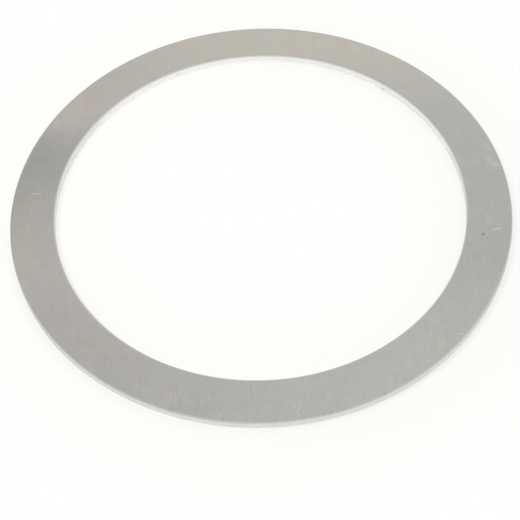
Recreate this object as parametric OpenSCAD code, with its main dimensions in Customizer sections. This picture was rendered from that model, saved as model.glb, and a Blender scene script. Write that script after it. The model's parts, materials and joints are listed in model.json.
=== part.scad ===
// Cylinder head gasket: one flat ring, blanked from soft aluminium sheet.
// A compound die cuts the bore and the rim in one stroke, so both have the same sheared edge:
// rolled over at the top face, then an upright burnished land, then a torn zone that draws back.
// Millimetres. The origin is the centre of the bottom face, with +Z up along the bore.

/* [Ring] */
// Diameter of the bore, across its burnished land
bore_d = 69; // [40:0.5:110]
// Width of the ring, from the bore to the rim
ring_w = 7.5; // [4:0.25:15]
// Thickness of the sheet
sheet_t = 1.5; // [1.2:0.1:3]

/* [Sheared edge] */
// Radius of the roll-over round the top face
roll_r = 0.35; // [0.05:0.05:0.4]
// Height of the torn zone, above the bottom face
tear_h = 0.55; // [0.2:0.05:0.7]
// How far the torn zone draws back from the land, at the bottom face
tear_in = 0.06; // [0.02:0.01:0.1]

/* [Hidden] */
bore_r = bore_d / 2;
rim_r = bore_r + ring_w;
aluminium = [0.69, 0.68, 0.65];
$fn = 180;

// What the roll-over takes off a square corner, to the right of the origin and above it
module roll_over() {
    difference() {
        square(roll_r);
        circle(roll_r);
    }
}

// Section of the sheet between its two sheared edges, to the right of the bore's axis
module sheared_section() {
    difference() {
        polygon([
            [bore_r + tear_in, 0],
            [rim_r - tear_in, 0],
            [rim_r, tear_h],
            [rim_r, sheet_t],
            [bore_r, sheet_t],
            [bore_r, tear_h]
        ]);
        translate([rim_r - roll_r, sheet_t - roll_r]) roll_over();
        translate([bore_r + roll_r, sheet_t - roll_r]) mirror([1, 0]) roll_over();
    }
}

module head_gasket() {
    color(aluminium) rotate_extrude() sheared_section();
}

head_gasket();
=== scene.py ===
"""Looks of a cylinder head gasket: a flat ring blanked from rolled aluminium sheet, on a white floor."""

import json
import math

import bpy
from mathutils import Matrix, Vector, noise
from mathutils.geometry import delaunay_2d_cdt


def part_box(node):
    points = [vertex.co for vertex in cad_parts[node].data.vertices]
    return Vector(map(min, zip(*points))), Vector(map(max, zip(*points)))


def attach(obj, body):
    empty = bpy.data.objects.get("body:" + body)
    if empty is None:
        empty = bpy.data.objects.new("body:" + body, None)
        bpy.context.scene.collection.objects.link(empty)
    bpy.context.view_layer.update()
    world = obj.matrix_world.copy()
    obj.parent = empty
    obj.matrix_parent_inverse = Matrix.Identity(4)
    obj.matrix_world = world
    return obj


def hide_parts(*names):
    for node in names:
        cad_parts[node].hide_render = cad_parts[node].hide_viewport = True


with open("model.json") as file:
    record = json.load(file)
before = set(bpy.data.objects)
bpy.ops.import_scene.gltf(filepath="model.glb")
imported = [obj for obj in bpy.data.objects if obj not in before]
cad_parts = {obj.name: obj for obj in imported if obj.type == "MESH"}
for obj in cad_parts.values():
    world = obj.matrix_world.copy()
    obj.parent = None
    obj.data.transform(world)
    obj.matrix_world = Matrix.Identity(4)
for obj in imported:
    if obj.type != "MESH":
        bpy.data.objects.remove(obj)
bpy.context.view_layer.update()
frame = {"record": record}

MM = 0.001
TURN = 2 * math.pi
QUARTER_TURN = TURN / 4
NODE = "head_gasket"
MOUNTS = {mount["name"]: mount for mount in frame["record"]["mounts"]}

# Section of the ring. Its lands are the frame's two round mounts, its roll-over ends at the top face,
# and its torn zone draws back a little towards the bottom face.
BORE_R = MOUNTS["bore"]["dims"]["r_mm"] * MM
RIM_R = MOUNTS["outer_rim"]["dims"]["r_mm"] * MM
LAND_HALF = MOUNTS["bore"]["dims"]["length_mm"] * MM / 2
LAND_LOW = MOUNTS["bore"]["pos_m"][2] - LAND_HALF
LAND_TOP = MOUNTS["bore"]["pos_m"][2] + LAND_HALF
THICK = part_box(NODE)[1].z
ROLL_R = THICK - LAND_TOP
TEAR_IN = 0.06 * MM

# How the ring's mesh is divided. A narrow flat strip follows each roll-over, with the face in between.
SEGMENTS = 1800
TORN_ROWS = 4
LAND_SHARES = (0.0, 0.12, 1.0)
ROLL_ROWS = 6
FLAT_RIM = 0.05 * MM
FACE_LOOPS = 3
FACE_LOOP_POINTS = 450
SHARP_ANGLE = math.radians(50)

# Points of the face that are nearer to each other than this, in millimetres, count as one
SAME_POINT = 1e-5

# Side of the sheet's UV square in rim radii, and its middle
UV_SIDE = 2.2
UV_MIDDLE = 0.5

# Raggedness of the torn zone: how far its upper line wanders, how dark that line is and its mean share
# of that, how deep its pits are, and over which length and in which layer of noise these vary
TEAR_WANDER = 0.06 * MM
TEAR_WANDER_LENGTH = 1.4 * MM
TEAR_WANDER_LAYER = 0.0
TEAR_LINE_TONE = -0.15
TEAR_LINE_SHARE = 0.5
TEAR_LINE_LENGTH = 2.5 * MM
TEAR_LINE_LAYER = 0.5
TEAR_PITS = 0.02 * MM
TEAR_PIT_LENGTH = 0.35 * MM

# Painted highlight on the roll-over of each edge where it meets the land, stronger on the bore's than on
# the rim's.
# Here and below, a tone of 1 is bare metal and -1 is dirt; on the edges the tones also paint light and
# shade.
ROLL_HIGHLIGHTS = {RIM_R: 0.68, BORE_R: 1.25}

# Stretches where the roll-over's painted highlight is stronger, or is dulled by painted shade: edge,
# nearest pixel of the photograph, half length in millimetres, and what they add to the tone
ROLL_PAINTED_LIGHT_AND_SHADE = (
    ("upper left of the rim", RIM_R, (22.0, 172.0), 32.0, -1.13),
    ("upper right of the rim", RIM_R, (430.0, 77.0), 34.0, -1.13),
    ("lower left of the rim", RIM_R, (73.0, 360.0), 20.0, 0.35),
    ("lower right of the rim", RIM_R, (461.0, 341.0), 20.0, 0.45),
    ("lower left of the bore", BORE_R, (92.0, 312.0), 27.0, -0.90),
    ("right of the bore", BORE_R, (464.0, 241.0), 14.0, -0.96),
    ("upper right of the bore", BORE_R, (392.0, 90.0), 25.0, 0.62),
    ("far side of the bore", BORE_R, (245.0, 56.0), 14.0, -0.20),
    ("upper left of the bore", BORE_R, (119.0, 101.0), 13.0, 0.30),
)

# Painted shade: darkened stretches of the lands and of the torn zones, given in the same way
LAND_PAINTED_SHADE = (
    ("left of the rim", RIM_R, (26.0, 300.0), 16.0, -0.36),
    ("left of the bore", BORE_R, (60.0, 182.0), 19.0, -0.14),
    ("right of the bore", BORE_R, (464.5, 184.0), 12.0, -0.14),
    ("near left of the bore", BORE_R, (95.0, 318.0), 28.0, -0.50),
    ("near right of the bore", BORE_R, (463.0, 254.0), 20.0, -0.24),
    ("upper left of the bore", BORE_R, (85.0, 133.0), 8.0, -0.08),
)
TORN_PAINTED_SHADE = (
    ("left of the rim", RIM_R, (38.0, 319.0), 20.0, -0.40),
    ("left of the bore", BORE_R, (60.0, 182.0), 19.0, -0.16),
    ("right of the bore", BORE_R, (463.0, 178.0), 15.0, -0.28),
    ("near left of the bore", BORE_R, (95.0, 318.0), 28.0, -0.50),
    ("near right of the bore", BORE_R, (463.0, 254.0), 20.0, -0.24),
)

# Dark streaks along the line of the tear, given in the same way
TEAR_STREAKS = (
    ("under the far dent", BORE_R, (383.0, 85.0), 0.6, -0.55),
    ("to the right of it", BORE_R, (415.0, 106.0), 9.0, -0.08),
    ("to the left of it", BORE_R, (345.0, 70.0), 1.0, -0.06),
)

# Small dents in the upper edges, given in the same way but with a depth in millimetres,
# and the painted shade that a millimetre of depth gives them
EDGE_DENTS = (
    ("left dent", RIM_R, (105.0, 383.5), 0.55, 0.07),
    ("first front dent", RIM_R, (324.5, 415.0), 0.35, 0.06),
    ("second front dent", RIM_R, (331.0, 413.0), 0.40, 0.06),
    ("third front dent", RIM_R, (343.5, 409.5), 0.45, 0.07),
    ("right dent", RIM_R, (385.0, 394.5), 0.50, 0.06),
    ("far dent", BORE_R, (383.0, 84.0), 0.60, 0.05),
)
DENT_SHADE = -3.0

# Marks on the top face: path by pixels of the photograph, half width and depth in millimetres, and tone
FACE_MARKS = (
    ("left scratch", ((33.5, 194.0), (36.0, 194.0), (40.0, 194.5)), 0.17, 0.003, 0.30),
    ("bright end of the left scratch", ((33.8, 193.9), (35.2, 193.9)), 0.15, 0.001, 0.08),
    ("right scratch", ((492.2, 229.6), (495.0, 229.3), (498.5, 228.7), (501.6, 227.7)), 0.14, 0.003, 0.21),
    ("bright part of the right scratch", ((496.5, 228.9), (499.5, 228.6)), 0.11, 0.001, 0.22),
    ("pit", ((483.1, 234.0), (483.9, 234.0)), 0.26, 0.025, -0.48),
    ("burr of the pit", ((486.7, 234.0), (487.5, 234.0)), 0.20, 0.003, 0.20),
    ("front gouge", ((299.6, 406.9), (296.9, 411.3), (299.4, 415.2), (295.8, 419.2)), 0.13, 0.003, 0.24),
    ("rub at the rim", ((490.0, 158.5), (494.0, 164.0)), 0.75, 0.0, 0.15),
    ("upper part of the rub", ((485.0, 146.0), (489.5, 148.5)), 0.60, 0.0, 0.10),
    ("end of the rub", ((496.5, 162.5), (498.0, 165.0)), 0.30, 0.0, 0.10),
    ("grain tick at the rub", ((477.8, 154.5), (478.0, 162.5)), 0.20, 0.001, 0.09),
    ("pale streak above the band", ((57.0, 129.2), (66.0, 128.4), (76.0, 127.0)), 0.35, 0.0, 0.05),
    ("upright tick", ((485.5, 211.0), (485.5, 216.0)), 0.14, 0.001, 0.11),
    ("level tick", ((491.0, 213.0), (495.5, 212.8)), 0.20, 0.001, 0.08),
    ("hairline", ((470.3, 254.0), (472.4, 271.0), (476.2, 291.0)), 0.18, 0.001, 0.065),
    ("hook", ((349.5, 396.6), (352.3, 396.8), (352.8, 399.5)), 0.16, 0.001, 0.13),
    ("tick near the rim", ((459.0, 334.0), (463.0, 334.0)), 0.14, 0.003, 0.24),
    ("far dot", ((392.2, 88.6), (393.2, 88.8)), 0.16, 0.010, -0.5),
)

# How far a mark reaches from its path, in half widths, how sharply it rises there,
# and the spacing of its points in millimetres
MARK_REACH = 1.7
MARK_SHARPNESS = 1.8
MARK_SPACING = 0.15
FEWEST_MARK_STEPS = 4

# Colours of the metal, as linear values
ROLLED = (0.461, 0.463, 0.438)
# The rim's land and torn zone are painted darker, and the bore's lighter, than one sheared metal: painted
# shade and painted light
RIM_LAND = (0.75, 0.74, 0.71)
RIM_TORN = (0.842, 0.828, 0.794)
BORE_LAND = (0.89, 0.885, 0.86)
# Colour of the bore land's painted highlight towards its roll-over
BORE_HIGHLIGHT = (0.95, 0.945, 0.92)
BORE_TORN = (0.96, 0.955, 0.93)
# Bare metal, also the colour of the painted highlights; dirt, also the colour of the painted shade
BARE_AND_SHEEN = (0.80, 0.795, 0.77)
DIRT_AND_SHADE = (0.10, 0.098, 0.09)

# Grains of each finish: size of their spots in millimetres along X, Y and Z, layer of the noise,
# and its detail
SHEET_GRAINS = {
    "fine ticks": ((0.42, 1.3, 1.0), 1.0, 1.0),
    "sparse ticks": ((0.46, 1.5, 1.0), 13.0, 0.0),
    "patches of ticks": ((5.0, 6.0, 9.0), 4.0, 2.0),
    "coarse strokes": ((1.2, 5.0, 1.0), 2.0, 2.0),
    "mottling": ((1.8, 1.8, 1.8), 10.0, 2.0),
    "blotches": ((7.0, 9.0, 9.0), 3.0, 2.0),
    "red tint": ((3.0, 3.5, 9.0), 11.0, 2.0),
    "blue tint": ((4.0, 5.0, 9.0), 12.0, 2.0),
    "waviness": ((9.0, 12.0, 9.0), 5.0, 2.0),
}
LAND_GRAINS = {
    "upright strokes": ((0.07, 0.07, 2.5), 6.0, 2.0),
    "patches": ((2.0, 2.0, 2.0), 7.0, 2.0),
}
TORN_GRAINS = {
    "torn grains": ((0.11, 0.11, 0.2), 8.0, 4.0),
    "patches": ((1.2, 1.2, 1.2), 9.0, 2.0),
}
NOISE_MIDDLE = 0.5

# What the grains add to the tone of each finish, and to the red and the blue of the rolled sheet
SHEET_TONE = {
    "fine ticks": 0.035,
    "sparse ticks": 0.03,
    "coarse strokes": 0.03,
    "mottling": 0.085,
    "blotches": 0.07,
}
LAND_TONE = {"upright strokes": 0.14, "patches": 0.16}
TORN_TONE = {"torn grains": 0.14, "patches": 0.18}
SHEET_RED = {"red tint": 0.045}
SHEET_BLUE = {"blue tint": 0.055}

# Roughness of each finish, what its grains and its tone of wear and painted light add to that, and the
# height of its bump
SHEET_ROUGHNESS = 0.12
SHEET_ROUGHER = {"fine ticks": 0.06, "blotches": 0.04, "wear_and_painted_light": 0.2}
SHEET_BUMP = 0.02 * MM
LAND_ROUGHNESS = 0.30
LAND_ROUGHER = {"upright strokes": 0.2}
LAND_BUMP = 0.006 * MM
TORN_ROUGHNESS = 0.55
TORN_ROUGHER = {"torn grains": 0.3}
TORN_BUMP = 0.03 * MM

# Ticks of the rolled sheet: their strength at the ring's front and back, the ends of the noise of their
# patches and their strength there, and between which values of the noise a bright or dark tick rises
TICKS_FRONT_BACK = (1.1, 0.5)
TICK_PATCH_ENDS = (-0.12, 0.12)
TICK_PATCH_STRENGTH = (0.2, 1.8)
BRIGHT_TICKS = (0.14, 0.30)
DARK_TICKS = (-0.14, -0.30)

# Camera of the photograph, about the ring's centre on the floor
PHOTO_SIDE = 520
SENSOR = 36.0
LENS = 81.594
CAMERA_DISTANCE = 199.653 * MM
CAMERA_ELEVATION = math.radians(51.4025)
CAMERA_ROLL = math.radians(-3.067)
CAMERA_AIM = Vector((-0.473, -11.15, 0.0)) * MM

# Studio, white all round: colours of the sky and of the horizon, the heights of a direction between
# which one goes over to the other, and the strength of the sky as a light
SKY = (0.935, 0.935, 0.95)
HORIZON = (1.0, 1.0, 1.0)
LOWEST_SKY = 0.05
HIGHEST_HORIZON = 0.3
SKY_LIGHT = 0.69

# Soft panels and walls overhead, with one darker gap: middle, half size and softness along X and Y
# on a ceiling one unit above the ring, and colour. Each lies over those before it.
PANELS = (
    ("back panel", (0.425, 1.95), (0.615, 0.97), (0.24, 0.16), (1.125, 1.070, 0.995)),
    ("left wall", (-0.80, 0.90), (0.65, 0.24), (0.40, 0.30), (0.985, 0.91, 0.87)),
    ("light beside the gap", (-0.85, 0.970), (0.66, 0.025), (0.16, 0.045), (1.10, 0.98, 0.905)),
    ("left front wall", (-0.75, 0.45), (0.65, 0.24), (0.36, 0.20), (0.89, 0.845, 0.835)),
    ("right wall", (0.85, 0.76), (0.62, 0.09), (0.40, 0.12), (0.895, 0.905, 0.866)),
    ("right front panel", (0.70, 0.40), (0.68, 0.25), (0.34, 0.14), (1.02, 1.02, 1.01)),
    ("shade beside the gap", (-0.85, 0.830), (0.615, 0.040), (0.10, 0.060), (0.84, 0.80, 0.785)),
    ("gap at the left", (-0.85, 0.885), (0.64, 0.044), (0.12, 0.030), (0.623, 0.648, 0.641)),
)

# Soft patches of the low sky, which the sheet mirrors at low angles: scale of their noise,
# and the heights of a direction between which they come in from below and from above
PATCH_SCALE = 2.6
PATCHES_FROM_BELOW = (0.10, 0.22)
PATCHES_FROM_ABOVE = (0.62, 0.48)

# Lamps: place and width in metres, and power in watts
LAMPS = (
    ("left_lamp", (-0.147, -0.030, 0.28), 0.10, 0.262),
    ("right_lamp", (0.17, 0.15, 0.30), 0.40, 0.25),
)


def camera_matrix():
    """Where the photograph's camera stands and how it is turned."""
    place = CAMERA_DISTANCE * Vector((0.0, -math.cos(CAMERA_ELEVATION), math.sin(CAMERA_ELEVATION)))
    turn = (CAMERA_AIM - place).to_track_quat("-Z", "Y").to_matrix().to_4x4()
    return Matrix.Translation(place) @ turn @ Matrix.Rotation(CAMERA_ROLL, 4, "Z")


def make_camera():
    data = bpy.data.cameras.new("camera")
    data.lens = LENS
    data.sensor_width = SENSOR
    camera = bpy.data.objects.new("camera", data)
    camera.matrix_world = camera_matrix()
    bpy.context.scene.collection.objects.link(camera)
    bpy.context.scene.camera = camera


def on_face(pixel):
    """The point of the ring's top face that shows at this pixel of the photograph."""
    focal = LENS / SENSOR * PHOTO_SIDE
    middle = PHOTO_SIDE / 2
    camera = camera_matrix()
    ray = camera.to_3x3() @ Vector(((pixel[0] - middle) / focal, (middle - pixel[1]) / focal, -1.0))
    place = camera.to_translation()
    return place + ray * ((THICK - place.z) / ray.z)


def around(radius, angle):
    """The point at this radius and angle, seen from above."""
    return Vector((radius * math.cos(angle), radius * math.sin(angle)))


# Mesh of the ring


def ripple(angle, radius, length, layer):
    """Smooth noise round the ring, from -1 to 1, with swells of about this length. Layers differ."""
    place = around(radius / length, angle)
    return noise.noise(Vector((place.x, place.y, layer)))


def edge_spots(spots, land_r, angle):
    """What these spots on the edge at this radius amount to at this angle."""
    amount = 0.0
    for _, edge_r, pixel, half_length, most in spots:
        if edge_r == land_r:
            middle = on_face(pixel)
            turn = math.remainder(angle - math.atan2(middle.y, middle.x), TURN)
            distance = abs(turn) * land_r / (half_length * MM)
            amount += most * max(0.0, 1 - distance * distance) ** 2
    return amount


def edge_section(land_r, angle):
    """Points of one sheared edge, from the bottom face to the flat of the top face.
    Each is how far it stands out from the land, its height and its tone, which paints light and shade on
    the edge."""
    tear_line = LAND_LOW + TEAR_WANDER * ripple(angle, land_r, TEAR_WANDER_LENGTH, TEAR_WANDER_LAYER)
    # Painted shade on stretches of the torn zone and of the land
    torn = edge_spots(TORN_PAINTED_SHADE, land_r, angle)
    land = edge_spots(LAND_PAINTED_SHADE, land_r, angle)
    # Painted highlight of the roll-over, with more painted light or painted shade on some stretches
    roll = ROLL_HIGHLIGHTS[land_r] + edge_spots(ROLL_PAINTED_LIGHT_AND_SHADE, land_r, angle)
    streak = edge_spots(TEAR_STREAKS, land_r, angle)
    line_share = TEAR_LINE_SHARE + ripple(angle, land_r, TEAR_LINE_LENGTH, TEAR_LINE_LAYER)
    line = min(0.0, TEAR_LINE_TONE * line_share)
    dent = edge_spots(EDGE_DENTS, land_r, angle) * MM
    section = [(-TEAR_IN, 0.0, torn)]
    for row in range(1, TORN_ROWS):
        share = row / TORN_ROWS
        pits = TEAR_PITS * abs(ripple(angle, land_r, TEAR_PIT_LENGTH, row))
        section.append((-TEAR_IN * (1 - share) - pits, tear_line * share, torn + streak * share))
    for share in LAND_SHARES:
        tone = land if share else land + streak + line
        section.append((-dent * share, tear_line + (LAND_TOP - tear_line) * share, tone))
    for row in range(1, ROLL_ROWS + 1):
        turn = QUARTER_TURN * row / ROLL_ROWS
        left = 1 - row / ROLL_ROWS
        # The dents' depth also paints shade on the roll-over
        tone = roll * left + DENT_SHADE * dent / MM
        inset = ROLL_R * (1 - math.cos(turn)) + dent * left
        section.append((-inset, LAND_TOP + ROLL_R * math.sin(turn) - dent * left, tone))
    section.append((-ROLL_R - FLAT_RIM, THICK, 0.0))
    return section


def mark_points(corners, half_width):
    """Points over one mark of the top face, in millimetres: rows along its path, columns across it."""
    reach = MARK_REACH * half_width
    spacing = min(half_width, MARK_SPACING)
    legs = [(end - start).length for start, end in zip(corners, corners[1:])]
    length = sum(legs) + 2 * reach
    rows = max(FEWEST_MARK_STEPS, round(length / spacing))
    columns = max(FEWEST_MARK_STEPS, round(2 * reach / spacing))
    points = []
    for row in range(rows + 1):
        along = length * row / rows - reach
        leg = 0
        while leg < len(legs) - 1 and along > legs[leg]:
            along -= legs[leg]
            leg += 1
        ahead = (corners[leg + 1] - corners[leg]).normalized()
        side = Vector((-ahead.y, ahead.x))
        middle = corners[leg] + ahead * along
        for column in range(columns + 1):
            points.append(middle + side * reach * (2 * column / columns - 1))
    return points


def off_path(place, corners):
    """How far a place is from the nearest leg of a path."""
    distances = []
    for start, end in zip(corners, corners[1:]):
        leg = end - start
        share = max(0.0, min(1.0, (place - start).dot(leg) / leg.length_squared))
        distances.append((place - start - leg * share).length)
    return min(distances)


def marked(place, marks):
    """A place on the top face in millimetres, with how far the marks lift it and their tone there."""
    lift = 0.0
    wear_and_painted_light = 0.0
    for corners, half_width, depth, tone in marks:
        distance = off_path(place, corners) / (MARK_REACH * half_width)
        share = max(0.0, 1 - distance * distance) ** MARK_SHARPNESS
        lift -= depth * share
        wear_and_painted_light += tone * share
    return place, lift, wear_and_painted_light


def face_points(inner, outer):
    """Points of the top face in millimetres: the loops at its two sides, then those between them."""
    marks = []
    for _, path, half_width, depth, tone in FACE_MARKS:
        marks.append(([on_face(pixel).xy / MM for pixel in path], half_width, depth, tone))
    points = []
    for loop_r in (outer, inner):
        for step in range(SEGMENTS):
            points.append((around(loop_r, TURN * step / SEGMENTS), 0.0, 0.0))
    for loop in range(FACE_LOOPS):
        loop_r = inner + (outer - inner) * (loop + 1) / (FACE_LOOPS + 1)
        for step in range(FACE_LOOP_POINTS):
            points.append(marked(around(loop_r, TURN * step / FACE_LOOP_POINTS), marks))
    margin = 2 * FLAT_RIM / MM
    for corners, half_width, _, _ in marks:
        for place in mark_points(corners, half_width):
            if inner + margin < place.length < outer - margin:
                points.append(marked(place, marks))
    return points


class RingMesh:
    """Gathers the ring's points and faces, with a tone for each point and a material for each face."""

    face_zone, rim_torn, rim_land, bore_torn, bore_land = range(5)
    land_start = TORN_ROWS
    roll_start = TORN_ROWS + len(LAND_SHARES) - 1
    rows = len(edge_section(RIM_R, 0.0))

    def __init__(self):
        self.points = []
        self.tones = []
        self.faces = []
        self.zones = []

    def add_face(self, corners, zone):
        self.faces.append(corners)
        self.zones.append(zone)

    def add_edge(self, land_r, facing, torn_zone, land_zone):
        """One sheared edge, facing out from the axis (1) or towards it (-1).
        The land's material, with its painted highlight, reaches over the first strip of the roll-over."""
        base = len(self.points)
        for step in range(SEGMENTS):
            angle = TURN * step / SEGMENTS
            for stands_out, height, tone in edge_section(land_r, angle):
                self.points.append((*around(land_r + facing * stands_out, angle), height))
                self.tones.append(tone)
        for step in range(SEGMENTS):
            here = base + step * self.rows
            after = base + (step + 1) % SEGMENTS * self.rows
            for row in range(self.rows - 1):
                quad = (here + row, after + row, after + row + 1, here + row + 1)
                zone = torn_zone
                if row >= self.land_start:
                    zone = land_zone
                if row > self.roll_start:
                    zone = self.face_zone
                self.add_face(quad[::facing], zone)

    def add_bottom(self):
        """The bottom face, between the first rows of the two edges."""
        bore = SEGMENTS * self.rows
        for step in range(SEGMENTS):
            here = step * self.rows
            after = (step + 1) % SEGMENTS * self.rows
            self.add_face((here, bore + here, bore + after, after), self.face_zone)

    def add_top(self):
        """The flat of the top face with its marks, between the last rows of the two edges.
        The triangles of its hull also span the bore, and those are left out."""
        inner = (BORE_R + ROLL_R + FLAT_RIM) / MM
        outer = (RIM_R - ROLL_R - FLAT_RIM) / MM
        points = face_points(inner, outer)
        loops = 2 * SEGMENTS
        ids = [step * self.rows + self.rows - 1 for step in range(loops)]
        for place, lift, tone in points[loops:]:
            ids.append(len(self.points))
            self.points.append((place.x * MM, place.y * MM, THICK + lift * MM))
            self.tones.append(tone)
        sides = []
        for start in (0, SEGMENTS):
            for step in range(SEGMENTS):
                sides.append((start + step, start + (step + 1) % SEGMENTS))
        flat = [point[0] for point in points]
        hull = 0
        places, _, triangles, sources, _, _ = delaunay_2d_cdt(flat, sides, [], hull, SAME_POINT)
        for triangle in triangles:
            middle = sum((places[corner] for corner in triangle), Vector((0.0, 0.0))) / len(triangle)
            if middle.length > inner:
                self.add_face([ids[sources[corner][0]] for corner in triangle], self.face_zone)

    def build(self, name):
        """The mesh itself, with each point's tone, which is wear and on the edges painted highlight and
        shade, and the sheet's UVs from above.
        """
        mesh = bpy.data.meshes.new(name)
        mesh.from_pydata(self.points, [], self.faces)
        mesh.polygons.foreach_set("material_index", self.zones)
        mesh.attributes.new("wear_and_painted_light", "FLOAT", "POINT").data.foreach_set("value", self.tones)
        sheet = mesh.uv_layers.new(name="sheet")
        side = UV_SIDE * RIM_R
        for loop in mesh.loops:
            x, y, _ = mesh.vertices[loop.vertex_index].co
            sheet.uv[loop.index].vector = (UV_MIDDLE + x / side, UV_MIDDLE + y / side)
        mesh.shade_smooth()
        mesh.set_sharp_from_angle(angle=SHARP_ANGLE)
        return mesh


# Nodes that the materials and the studio share


def add(tree, kind, inputs, **settings):
    """A new node with these settings. Each input takes a value, or the socket that feeds it."""
    node = tree.nodes.new("ShaderNode" + kind)
    for name, value in settings.items():
        setattr(node, name, value)
    for name, value in inputs.items():
        if isinstance(value, bpy.types.NodeSocket):
            tree.links.new(value, node.inputs[name])
        else:
            node.inputs[name].default_value = value
    return node


def arith(tree, operation, *values):
    """The result of a Math node on numbers or sockets."""
    return add(tree, "Math", dict(enumerate(values)), operation=operation).outputs[0]


def ramp(tree, value, ends=(0.0, 1.0), results=(0.0, 1.0), kind="LINEAR"):
    """Goes from one result to the other as a value goes from one end to the other, and no further."""
    inputs = {"Value": value}
    inputs["From Min"], inputs["From Max"] = ends
    inputs["To Min"], inputs["To Max"] = results
    return add(tree, "MapRange", inputs, interpolation_type=kind).outputs[0]


def blend(tree, share, first, second):
    """One colour going over to another by this share, on the Mix node's colour sockets."""
    factor, colour_a, colour_b, colour_out = 0, 6, 7, 2
    inputs = {factor: share, colour_a: first, colour_b: second}
    return add(tree, "Mix", inputs, data_type="RGBA", clamp_factor=False).outputs[colour_out]


def opaque(colour):
    return (*colour, 1.0)


def shaded(tree, colour, brightness):
    """A colour times a brightness that varies."""
    return add(tree, "VectorMath", {0: colour, "Scale": brightness}, operation="SCALE").outputs[0]


# Materials


def grain(tree, size, layer, detail):
    """Noise from about -0.5 to 0.5, with spots of this size in millimetres. Layers differ."""
    place = add(tree, "TexCoord", {}).outputs["Object"]
    scale = [1 / (length * MM) for length in size]
    scaled = {0: place, 1: scale, 2: [layer] * len(size)}
    place = add(tree, "VectorMath", scaled, operation="MULTIPLY_ADD").outputs[0]
    spots = add(tree, "TexNoise", {"Vector": place, "Scale": 1.0, "Detail": detail})
    return arith(tree, "SUBTRACT", spots.outputs["Fac"], NOISE_MIDDLE)


def grains_of(tree, kinds):
    """The noise of each grain of a finish, by name."""
    return {name: grain(tree, *kind) for name, kind in kinds.items()}


def varied(tree, start, gains, grains):
    """A start value plus each grain times its gain."""
    result = start
    for name, gain in gains.items():
        result = arith(tree, "MULTIPLY_ADD", grains[name], gain, result)
    return result


def wear_and_painted_light_of(tree):
    """The tone of each point of the mesh: wear, and on the edges painted highlight and painted shade."""
    return add(tree, "Attribute", {}, attribute_name="wear_and_painted_light").outputs["Fac"]


def worn_and_painted(tree, colour, wear_and_painted_light, bare):
    """A colour that goes over to bare metal or to dirt by the tone at each point, which is wear, and on
    the edges painted highlight and painted shade. A tone above 1 is brighter than bare metal."""
    colour = blend(tree, arith(tree, "MAXIMUM", wear_and_painted_light, 0.0), colour, opaque(bare))
    dirt = arith(tree, "MULTIPLY", arith(tree, "MINIMUM", wear_and_painted_light, 0.0), -1.0)
    return blend(tree, dirt, colour, opaque(DIRT_AND_SHADE))


def new_metal(name):
    """A metal with nothing else set: the material, its tree and its shader."""
    material = bpy.data.materials.new(name)
    material.use_nodes = True
    tree = material.node_tree
    shader = tree.nodes["Principled BSDF"]
    shader.inputs["Metallic"].default_value = 1.0
    return material, tree, shader


def set_surface(tree, shader, colour, roughness, height, distance):
    """Gives the shader its colour, its roughness, and a bump of this height field times a distance."""
    tree.links.new(colour, shader.inputs["Base Color"])
    tree.links.new(roughness, shader.inputs["Roughness"])
    bump = add(tree, "Bump", {"Height": height, "Distance": distance})
    tree.links.new(bump.outputs["Normal"], shader.inputs["Normal"])


def sheet_grains(tree):
    """Grains of the rolled sheet. Its ticks are weaker towards the back, and in some patches.
    Of the sparse ticks only the brightest and the darkest spots of the noise are left."""
    grains = grains_of(tree, SHEET_GRAINS)
    place = add(tree, "TexCoord", {}).outputs["Object"]
    along = add(tree, "SeparateXYZ", {0: place}).outputs["Y"]
    fade = ramp(tree, along, (-RIM_R, RIM_R), TICKS_FRONT_BACK)
    grains["fine ticks"] = arith(tree, "MULTIPLY", grains["fine ticks"], fade)
    patches = ramp(tree, grains["patches of ticks"], TICK_PATCH_ENDS, TICK_PATCH_STRENGTH)
    strength = arith(tree, "MULTIPLY", patches, fade)
    bright = ramp(tree, grains["sparse ticks"], BRIGHT_TICKS)
    dark = ramp(tree, grains["sparse ticks"], DARK_TICKS)
    grains["sparse ticks"] = arith(tree, "MULTIPLY", arith(tree, "SUBTRACT", bright, dark), strength)
    return grains


def rolled_sheet():
    """Mill finish: short ticks along the rolling direction (Y), faint mottling and tints, and a slight
    waviness. Its reflections spread across the ticks."""
    material, tree, shader = new_metal("rolled_sheet")
    grains = sheet_grains(tree)
    wear_and_painted_light = wear_and_painted_light_of(tree)
    grains["wear_and_painted_light"] = arith(tree, "ABSOLUTE", wear_and_painted_light)
    red = varied(tree, ROLLED[0], SHEET_RED, grains)
    blue = varied(tree, ROLLED[2], SHEET_BLUE, grains)
    tinted = add(tree, "CombineXYZ", {0: red, 1: ROLLED[1], 2: blue}).outputs[0]
    tone = varied(tree, 1.0, SHEET_TONE, grains)
    colour = worn_and_painted(tree, shaded(tree, tinted, tone), wear_and_painted_light, BARE_AND_SHEEN)
    roughness = varied(tree, SHEET_ROUGHNESS, SHEET_ROUGHER, grains)
    set_surface(tree, shader, colour, roughness, grains["waviness"], SHEET_BUMP)
    shader.inputs["Anisotropic"].default_value = 1.0
    tangent = add(tree, "Tangent", {}, direction_type="UV_MAP", uv_map="sheet")
    tree.links.new(tangent.outputs[0], shader.inputs["Tangent"])
    return material


def burnished_land(name, colour, brightest):
    """The land of a sheared edge, with fine upright strokes from the die.
    Towards the roll-over it carries a painted highlight, in the brightest colour given."""
    material, tree, shader = new_metal(name)
    grains = grains_of(tree, LAND_GRAINS)
    tone = varied(tree, 1.0, LAND_TONE, grains)
    colour = worn_and_painted(tree, shaded(tree, colour, tone), wear_and_painted_light_of(tree), brightest)
    roughness = varied(tree, LAND_ROUGHNESS, LAND_ROUGHER, grains)
    set_surface(tree, shader, colour, roughness, grains["upright strokes"], LAND_BUMP)
    return material


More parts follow.
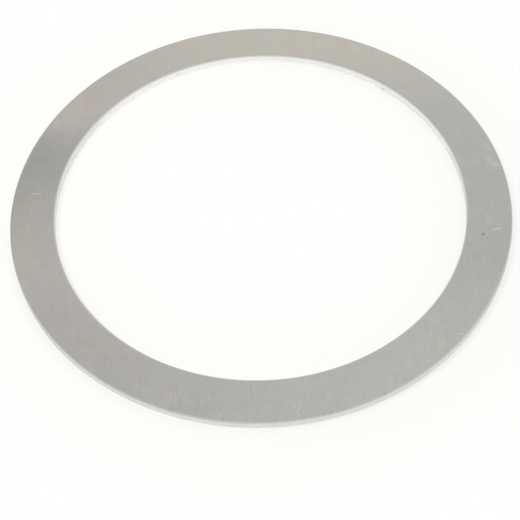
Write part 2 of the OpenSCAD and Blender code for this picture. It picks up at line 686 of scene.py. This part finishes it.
def torn_metal(name, colour):
    """The torn zone of a sheared edge: rough, matt and grainy."""
    material, tree, shader = new_metal(name)
    grains = grains_of(tree, TORN_GRAINS)
    tone = varied(tree, 1.0, TORN_TONE, grains)
    colour = worn_and_painted(tree, shaded(tree, colour, tone), wear_and_painted_light_of(tree), BARE_AND_SHEEN)
    roughness = varied(tree, TORN_ROUGHNESS, TORN_ROUGHER, grains)
    set_surface(tree, shader, colour, roughness, grains["torn grains"], TORN_BUMP)
    return material


def make_ring():
    """The ring as one piece, with its materials in the order of the mesh's zones."""
    gathered = RingMesh()
    gathered.add_edge(RIM_R, 1, RingMesh.rim_torn, RingMesh.rim_land)
    gathered.add_edge(BORE_R, -1, RingMesh.bore_torn, RingMesh.bore_land)
    gathered.add_bottom()
    gathered.add_top()
    mesh = gathered.build(NODE + "_sheet")
    mesh.materials.append(rolled_sheet())
    mesh.materials.append(torn_metal("rim_torn", RIM_TORN))
    mesh.materials.append(burnished_land("rim_land", RIM_LAND, BARE_AND_SHEEN))
    mesh.materials.append(torn_metal("bore_torn", BORE_TORN))
    mesh.materials.append(burnished_land("bore_land", BORE_LAND, BORE_HIGHLIGHT))
    ring = bpy.data.objects.new(mesh.name, mesh)
    bpy.context.scene.collection.objects.link(ring)
    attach(ring, "root")
    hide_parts(NODE)


# Studio


def seen(tree):
    """1 where the camera sees a surface, by itself or in metal or glass, and 0 where it gives light."""
    path = add(tree, "LightPath", {}).outputs
    share = arith(tree, "MAXIMUM", path["Is Camera Ray"], path["Is Glossy Ray"])
    return arith(tree, "MAXIMUM", share, path["Is Transmission Ray"])


def white_floor():
    """White paper. What is seen of it is partly its own light, more so away from the ring's shadow."""
    paper = (0.985, 0.985, 0.96)
    warm_white = (1.0, 1.0, 0.97)
    white = (1.0, 1.0, 1.0)
    near, far = 6 * MM, 22 * MM
    near_share, far_share = 0.6, 1.0
    material = bpy.data.materials.new("white_paper")
    material.use_nodes = True
    tree = material.node_tree
    tree.nodes.clear()
    lit = add(tree, "BsdfDiffuse", {"Color": opaque(paper)})
    place = add(tree, "TexCoord", {}).outputs["Object"]
    distance = add(tree, "VectorMath", {0: place}, operation="LENGTH").outputs["Value"]
    distance = arith(tree, "ABSOLUTE", arith(tree, "SUBTRACT", distance, (BORE_R + RIM_R) / 2))
    away = ramp(tree, distance, (near, far))
    colour = blend(tree, away, opaque(warm_white), opaque(white))
    own = add(tree, "Emission", {"Color": colour, "Strength": 1.0})
    share = ramp(tree, away, results=(near_share, far_share))
    share = arith(tree, "MULTIPLY", seen(tree), share)
    mix = add(tree, "MixShader", {0: share, 1: lit.outputs[0], 2: own.outputs[0]})
    out = add(tree, "OutputMaterial", {"Surface": mix.outputs[0]})
    out.is_active_output = True
    return material


def make_floor():
    """A wide square just below the ring."""
    reach = 3.0
    below = -0.005 * MM
    mesh = bpy.data.meshes.new("floor")
    corners = [(x * reach, y * reach, below) for x, y in ((-1, -1), (1, -1), (1, 1), (-1, 1))]
    mesh.from_pydata(corners, [], [range(len(corners))])
    mesh.materials.append(white_floor())
    floor = bpy.data.objects.new("floor", mesh)
    bpy.context.scene.collection.objects.link(floor)


def panel_share(tree, along, middle, half, soft):
    """1 within half a panel's size of its middle along one axis, and 0 outside, with a soft side."""
    distance = arith(tree, "ABSOLUTE", arith(tree, "SUBTRACT", along, middle))
    return ramp(tree, distance, (half + soft / 2, half - soft / 2), kind="SMOOTHSTEP")


def with_panels(tree, colour, across, away):
    """The sky's colour with the panels over it, at a place on the ceiling."""
    for _, middle, half, soft, glow in PANELS:
        share_x = panel_share(tree, across, middle[0], half[0], soft[0])
        share_y = panel_share(tree, away, middle[1], half[1], soft[1])
        colour = blend(tree, arith(tree, "MULTIPLY", share_x, share_y), colour, opaque(glow))
    return colour


def low_patches(tree, direction, height):
    """Brightness of the sky: 1, and somewhat more or less in the soft patches low down."""
    spots = add(tree, "TexNoise", {"Vector": direction, "Scale": PATCH_SCALE, "Detail": 0.0})
    patches = arith(tree, "SUBTRACT", spots.outputs["Fac"], NOISE_MIDDLE)
    for heights in (PATCHES_FROM_BELOW, PATCHES_FROM_ABOVE):
        patches = arith(tree, "MULTIPLY", patches, ramp(tree, height, heights))
    return arith(tree, "ADD", patches, 1.0)


def make_world():
    """The studio's sky, which is seen at full strength and gives less light than that."""
    world = bpy.data.worlds.new("studio")
    bpy.context.scene.world = world
    world.use_nodes = True
    tree = world.node_tree
    direction = add(tree, "TexCoord", {}).outputs["Generated"]
    parts = add(tree, "SeparateXYZ", {0: direction}).outputs
    low = ramp(tree, parts["Z"], (HIGHEST_HORIZON, LOWEST_SKY), kind="SMOOTHSTEP")
    colour = blend(tree, low, opaque(SKY), opaque(HORIZON))
    height = arith(tree, "MAXIMUM", parts["Z"], LOWEST_SKY)
    across = arith(tree, "DIVIDE", parts["X"], height)
    away = arith(tree, "DIVIDE", parts["Y"], height)
    colour = with_panels(tree, colour, across, away)
    colour = shaded(tree, colour, low_patches(tree, direction, parts["Z"]))
    background = tree.nodes["Background"]
    tree.links.new(colour, background.inputs["Color"])
    strength = ramp(tree, seen(tree), results=(SKY_LIGHT, 1.0))
    tree.links.new(strength, background.inputs["Strength"])


def make_lamp(name, place, size, energy):
    """A round soft lamp that faces the ring's centre."""
    data = bpy.data.lights.new(name, "AREA")
    data.shape = "DISK"
    data.size = size
    data.energy = energy
    lamp = bpy.data.objects.new(name, data)
    lamp.visible_glossy = False
    turn = (-place).to_track_quat("-Z", "Y").to_matrix().to_4x4()
    lamp.matrix_world = Matrix.Translation(place) @ turn
    bpy.context.scene.collection.objects.link(lamp)


make_camera()
make_ring()
make_floor()
make_world()
for lamp_name, place, size, energy in LAMPS:
    make_lamp(lamp_name, Vector(place), size, energy)
bpy.context.scene.view_settings.view_transform = "Standard"
